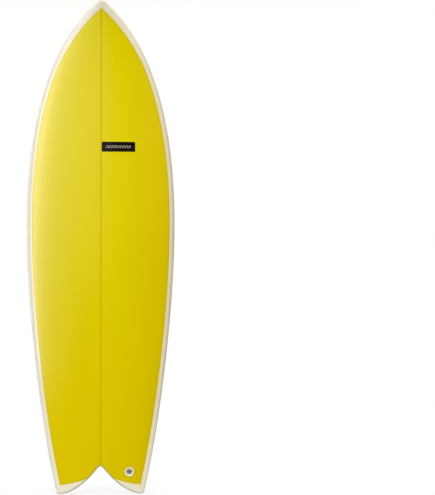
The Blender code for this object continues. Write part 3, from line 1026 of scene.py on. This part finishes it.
def label_material(name, box):
    """Near-black ink with one plain pale wave line."""
    nodes = Look(name)
    x, _, z = nodes.axes()
    left, right, low, high = box
    width, height = right - left, high - low
    across = nodes.math("ABSOLUTE", nodes.minus(x, (left + right) / 2))
    up = nodes.minus(z, (low + high) / 2)
    swell = nodes.times(nodes.wave(x, width / 12), height * 0.11)
    away = nodes.math("ABSOLUTE", nodes.minus(up, swell))
    line = nodes.ramp(away, height * 0.055, height * 0.035)
    line = nodes.times(line, nodes.ramp(across, width * 0.377, width * 0.373))
    ink = nodes.mix(nodes.noise(900, 3), INK_DARK, INK_PALE)
    printed = nodes.mix(nodes.times(line, 0.85), ink, PRINT)
    return laminate(nodes, printed, nodes.noise(700, 2))


def resin_material(name, thin, thick):
    """Milky filled resin between two tints, with small bubbles."""
    nodes = Look(name)
    clouds = nodes.noise(90, 5)
    bubbles = nodes.noise(900, 2)
    tint = nodes.mix(nodes.ramp(clouds, 0.35, 0.7), thin, thick)
    tint = nodes.mix(nodes.ramp(bubbles, 0.66, 0.72), tint, BUBBLE)
    return laminate(nodes, tint, bubbles)


def plastic_material(name, tone, well, brim, floor):
    """Moulded plastic, scuffed by sanding, that turns to the well tone from brim to floor depth, where
    its specular level also falls as painted shade on the reflections.
    """
    nodes = Look(name)
    scuff = nodes.noise(260, 4, stretch=(1, 1, 0.12))
    tint = nodes.mix(nodes.ramp(scuff, 0.45, 0.75), tone, shaded(tone, 0.88))
    sunk = nodes.ramp(nodes.attribute("depth"), brim, floor)
    return nodes.finish(
        Base_Color=nodes.mix(sunk, tint, well),
        Roughness=nodes.ramp(scuff, 0.3, 0.8, low=0.28, high=0.45),
        Specular_IOR_Level=nodes.minus(0.5, nodes.times(sunk, 0.4)),
        Normal=nodes.bump(nodes.noise(1500, 2), 0.00003, 0.4),
    )


def shaded(tone, share):
    """A share of a tone."""
    return tuple(share * part for part in tone)


def steel_material(name, tone):
    """Turned steel, with fine streaks round it."""
    nodes = Look(name)
    streaks = nodes.noise(1400, 3, stretch=(0.3, 3, 1))
    return nodes.finish(
        Base_Color=nodes.mix(streaks, shaded(tone, 0.8), tone),
        Metallic=1.0,
        Roughness=nodes.ramp(streaks, 0.3, 0.7, low=0.22, high=0.38),
        Normal=nodes.bump(streaks, 0.00002, 0.4),
    )


def foam_material():
    """Blown foam, with cells of about a millimetre."""
    nodes = Look("blown_foam")
    cells = nodes.new("TexVoronoi", nodes.place())
    cells.inputs["Scale"].default_value = 900
    size = cells.outputs["Distance"]
    tint = nodes.mix(nodes.ramp(size, 0.1, 0.6), (0.80, 0.76, 0.66), (0.88, 0.86, 0.80))
    return nodes.finish(Base_Color=tint, Roughness=0.9, Normal=nodes.bump(size, 0.0002, 0.5))


def wood_material():
    """Basswood, with its grain along the board."""
    nodes = Look("basswood")
    grain = nodes.noise(40, 5, stretch=(6, 6, 0.2))
    rings = nodes.noise(220, 2, stretch=(1, 1, 0.05))
    tint = nodes.mix(grain, (0.40, 0.25, 0.12), (0.66, 0.47, 0.27))
    tint = nodes.mix(nodes.times(rings, 0.4), tint, (0.33, 0.20, 0.10))
    return nodes.finish(Base_Color=tint, Roughness=0.6, Normal=nodes.bump(rings, 0.0001, 0.5))


# ------------------------ the object


def finish_piece(piece, node, material, slot):
    """The piece stands for the CAD node, on that node's body, with the given material; the slot is not
    used.
    """
    piece.data.materials.clear()
    piece.data.materials.append(material)
    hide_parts(node)
    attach(piece, frame["nodes"][node]["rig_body"])


def build_board():
    """The glass panels, the rail band and the labels, all parts of one skin."""
    skin = Skin()
    for node, ending, material, slot in (
        ("deck_glass", "skin", yellow_material("yellow_deck", 0.10, YELLOW_NOSE_LIT), "yellow_glass"),
        ("bottom_glass", "skin", yellow_material("yellow_bottom", 0.0, YELLOW), "yellow_glass"),
        ("rail_glass", "skin", cream_material(), "cream_glass"),
        ("deck_label", "print", label_material("deck_ink", DECK_LABEL), "label_ink"),
        ("bottom_label", "print", label_material("bottom_ink", BOTTOM_LABEL), "label_ink"),
    ):
        finish_piece(shell(f"{node}_{ending}", skin, node, GLASS), node, material, slot)


def build_fittings():
    """The leash plug and both fin boxes, with their beds of resin, bar and set screws."""
    fin_resin = resin_material("filled_resin", (0.52, 0.48, 0.43), (0.61, 0.56, 0.45))
    leash_resin = resin_material("ivory_resin", (0.76, 0.68, 0.34), (0.80, 0.73, 0.42))
    # The fin boxes' dark well tone is painted shade in their slots
    white, dark_well_shade = (0.80, 0.81, 0.84), (0.045, 0.05, 0.06)
    ivory, grey_well = (0.80, 0.75, 0.58), (0.80, 0.79, 0.82)
    box_plastic = plastic_material("white_moulding", white, dark_well_shade, 0.0003, 0.0016)
    cup_plastic = plastic_material("ivory_moulding", ivory, grey_well, 0.0012, 0.0040)
    looks = {
        "fin_bed": (fin_resin, "resin_fill"),
        "fin_box": (box_plastic, "white_plastic"),
        "fin_screw": (steel_material("black_steel", (0.07, 0.07, 0.075)), "steel"),
        "leash_bed": (leash_resin, "resin_fill"),
        "leash_cup": (cup_plastic, "white_plastic"),
        # The bar's dark steel tone is painted shade on the stainless bar in the cup's hollow
        "leash_pin": (steel_material("dark_shaded_steel", (0.14, 0.14, 0.15)), "steel"),
    }
    pieces = leash_pieces()
    for name in FIN_SEATS:
        pieces.update(fin_pieces(name))
    for node, piece in pieces.items():
        kind = node.removesuffix("_left").removesuffix("_right")
        finish_piece(piece, node, *looks[kind])


def dress_core():
    """The foam halves and the stringer keep their CAD shape, inside the glass."""
    foam, wood = foam_material(), wood_material()
    for node, material in (("blank_left", foam), ("blank_right", foam), ("stringer", wood)):
        for slot in frame["nodes"][node].material_slots:
            slot.material = material


# ------------------------ floor, light and camera


WHITE = (1, 1, 1)
RAYS = ("camera", "diffuse", "glossy", "transmission", "shadow")


def show_only(item, ray):
    """Hides an object from every kind of ray but one."""
    for other in RAYS:
        setattr(item, f"visible_{other}", other == ray)


def stage_floor():
    """A pale floor with a painted soft contact shadow where the board stands on it, shown to the camera
    only.
    """
    bm = bmesh.new()
    bmesh.ops.create_circle(bm, cap_ends=True, segments=96, radius=4.5)
    mesh = bpy.data.meshes.new("floor")
    bm.to_mesh(mesh)
    bm.free()
    floor = place_piece("floor", mesh)
    floor.location.z = CAD_BOX[0].z - 0.0005
    nodes = Look("pale_floor")
    # Painted contact shadow: ambient occlusion darkens the glowing floor near the board
    shade = nodes.new("AmbientOcclusion")
    shade.samples = 12
    shade.inputs["Distance"].default_value = 0.30
    open_share = nodes.ramp(shade.outputs["AO"], 0.3, 1.0)
    tint = nodes.mix(open_share, (0.84, 0.84, 0.83), WHITE)
    mesh.materials.append(nodes.glow(tint, 1.0, 1.0))
    show_only(floor, "camera")


# Light on the board: a dome that brightens upward, stronger ahead and behind, and a pale floor,
# cool from the left and warm from the right
DOME_LEVEL = 0.078
DOME_TOP = 3.15
DOME_RISE = math.radians(11.5)
DOME_FOOT = math.radians(-9)
LOBE_TURN = math.radians(13)
LOBE_SHARE = 0.5
FLOOR_LIGHT = 0.83
FLOOR_EDGE = (math.radians(-3), math.radians(-18))
WARM_LIGHT = (0.98, 0.88, 0.64)
COOL_LIGHT = (1.02, 1.04, 1.09)

# Reflections in the gloss: the ceiling, the floor, a bright wall at the left, and a graded window
# panel ahead and behind
CEILING_LEVEL = 0.13
CEILING_TOP = 3.0
CEILING_RISE = math.radians(10.5)
CEILING_DARK = 0.12
FLOOR_MIRROR = 0.9
MIRROR_EDGE = (math.radians(-14), math.radians(-25))
PANEL_TURN = math.radians(35)
PANEL_AWAY = 2.0
PANEL_REACH = (-2.2, 2.0)
PANEL_HEIGHT = 2.5
PANEL_LEVEL = 2.9
PANEL_TOP = 4.9
PANEL_FALL = 0.55
PANEL_GRADE = (0.8, 0.15)
PANEL_LEFT = (-1.3, -0.8, 0.12)
PANEL_DARK = 0.17
PANEL_HAZE = 0.55
HAZE_FOOT = 0.6
HAZE_END = (2.0, 1.1)
PANEL_FADE = (1.0, 0.4, 0.6)  # Over its top, its foot and each end
WALL_TURN = math.radians(115)
WALL_LIGHT = 6.0
WALL_EDGE = (0.75, 0.95)


def towards(nodes, x, y, turn):
    """How far a direction points to the left by turn from straight ahead."""
    return nodes.plus(nodes.times(x, -math.sin(turn)), nodes.times(y, -math.cos(turn)))


def lobes(nodes, x, y, turn):
    """1 in the directions ahead and behind, turned left by turn, and -1 square to them."""
    along = towards(nodes, x, y, turn)
    flat = nodes.math("MAXIMUM", nodes.plus(nodes.times(x, x), nodes.times(y, y)), 1e-4)
    share = nodes.math("DIVIDE", nodes.times(along, along), flat)
    return nodes.minus(nodes.times(share, 2.0), 1.0)


def grows(nodes, angle, level, rise):
    """level, times e for every rise of the angle."""
    power = nodes.math("EXPONENT", nodes.math("DIVIDE", angle, rise))
    return nodes.times(power, level)


def room_light(nodes, x, y, rise):
    """The light from each direction that falls on the board."""
    dome = nodes.math("MINIMUM", grows(nodes, rise, DOME_LEVEL, DOME_RISE), DOME_TOP)
    dome = nodes.times(dome, nodes.ramp(rise, DOME_FOOT, 0))
    floor = nodes.ramp(rise, *FLOOR_EDGE, 0.0, FLOOR_LIGHT)
    swing = nodes.times(lobes(nodes, x, y, LOBE_TURN), LOBE_SHARE)
    return nodes.times(nodes.plus(dome, floor), nodes.plus(swing, 1.0))


def room_mirrored(nodes, x, y, rise):
    """The light from each direction that the gloss reflects."""
    ceiling = nodes.minus(grows(nodes, rise, CEILING_LEVEL, CEILING_RISE), CEILING_DARK)
    ceiling = nodes.between(0.0, ceiling, CEILING_TOP)
    floor = nodes.ramp(rise, *MIRROR_EDGE, 0.0, FLOOR_MIRROR)
    wall = nodes.ramp(towards(nodes, x, y, WALL_TURN), *WALL_EDGE, 0.0, WALL_LIGHT)
    return nodes.plus(nodes.plus(ceiling, floor), wall)


def window_panel(name, turn, share):
    """A tall graded panel that shows only in the gloss, turned left from straight ahead."""
    left, right = PANEL_REACH
    mesh = bpy.data.meshes.new(name)
    corners = [(left, 0, 0), (right, 0, 0), (right, 0, PANEL_HEIGHT), (left, 0, PANEL_HEIGHT)]
    mesh.from_pydata(corners, [], [[0, 1, 2, 3]])
    panel = place_piece(name, mesh)
    panel.rotation_euler.z = -turn
    panel.location = (-PANEL_AWAY * math.sin(turn), -PANEL_AWAY * math.cos(turn), 0)
    nodes = Look(name)
    x, _, z = nodes.axes()
    level = grows(nodes, x, PANEL_LEVEL, -PANEL_FALL)
    level = nodes.times(level, nodes.math("MULTIPLY_ADD", z, *PANEL_GRADE))
    level = nodes.between(0.0, nodes.minus(level, PANEL_DARK), PANEL_TOP)
    haze = nodes.math("MAXIMUM", nodes.times(nodes.minus(z, HAZE_FOOT), PANEL_HAZE), 0.0)
    haze = nodes.times(haze, nodes.ramp(x, *HAZE_END))
    level = nodes.times(nodes.plus(level, haze), share)
    level = nodes.times(level, nodes.ramp(x, *PANEL_LEFT))
    top, foot, end = PANEL_FADE
    solid = nodes.ramp(z, 0.0, foot)
    for value, edge, fade in ((z, PANEL_HEIGHT, -top), (x, right, -end), (x, left, end)):
        solid = nodes.times(solid, nodes.ramp(value, edge, edge + fade))
    mesh.materials.append(nodes.glow(WHITE, level, solid))
    show_only(panel, "glossy")


def studio_world():
    """White to the camera, and a soft studio to everything else."""
    studio = bpy.data.worlds.new("studio")
    bpy.context.scene.world = studio
    studio.use_nodes = True
    studio.node_tree.nodes.clear()
    nodes = Nodes(studio.node_tree)
    x, y, z = nodes.new("SeparateXYZ", nodes.new("TexCoord").outputs["Generated"]).outputs
    rise = nodes.math("ARCSINE", nodes.between(-0.999, z, 0.999))
    lit = nodes.mix(nodes.ramp(x, 0.7, -0.7), WARM_LIGHT, COOL_LIGHT)
    looks = []
    for colour, strength in (
        (lit, room_light(nodes, x, y, rise)),
        (WHITE, room_mirrored(nodes, x, y, rise)),
        (WHITE, 1.0),
    ):
        looks.append(nodes.new("Background", colour, strength).outputs[0])
    path = nodes.new("LightPath")
    shown = looks[0]
    for ray, look in (("Is Glossy Ray", looks[1]), ("Is Camera Ray", looks[2])):
        shown = nodes.new("MixShader", path.outputs[ray], shown, look).outputs[0]
    nodes.new("OutputWorld", shown)


CAMERA_AWAY = 5.7
CAMERA_TURN = math.radians(4.245)
CAMERA_ROLL = math.radians(0.12)
CAMERA_LENS = 114.24


def add_camera():
    """Straight ahead of the deck at mid height, turned so that the board stands at the left."""
    data = bpy.data.cameras.new("camera")
    data.sensor_width = 36
    data.lens = CAMERA_LENS
    data.clip_end = 60
    camera = bpy.data.objects.new("camera", data)
    bpy.context.scene.collection.objects.link(camera)
    camera.location = (0, -CAMERA_AWAY, LENGTH / 2 + 0.0005)
    aim = Matrix.Rotation(-CAMERA_TURN, 4, "Z") @ Matrix.Rotation(math.pi / 2, 4, "X")
    camera.rotation_euler = (aim @ Matrix.Rotation(CAMERA_ROLL, 4, "Z")).to_euler()
    bpy.context.scene.camera = camera


build_board()
build_fittings()
dress_core()
stage_floor()
studio_world()
window_panel("front_window", PANEL_TURN, 1.0)
window_panel("back_window", PANEL_TURN + math.pi, 0.35)
add_camera()
bpy.context.scene.view_settings.view_transform = "Standard"
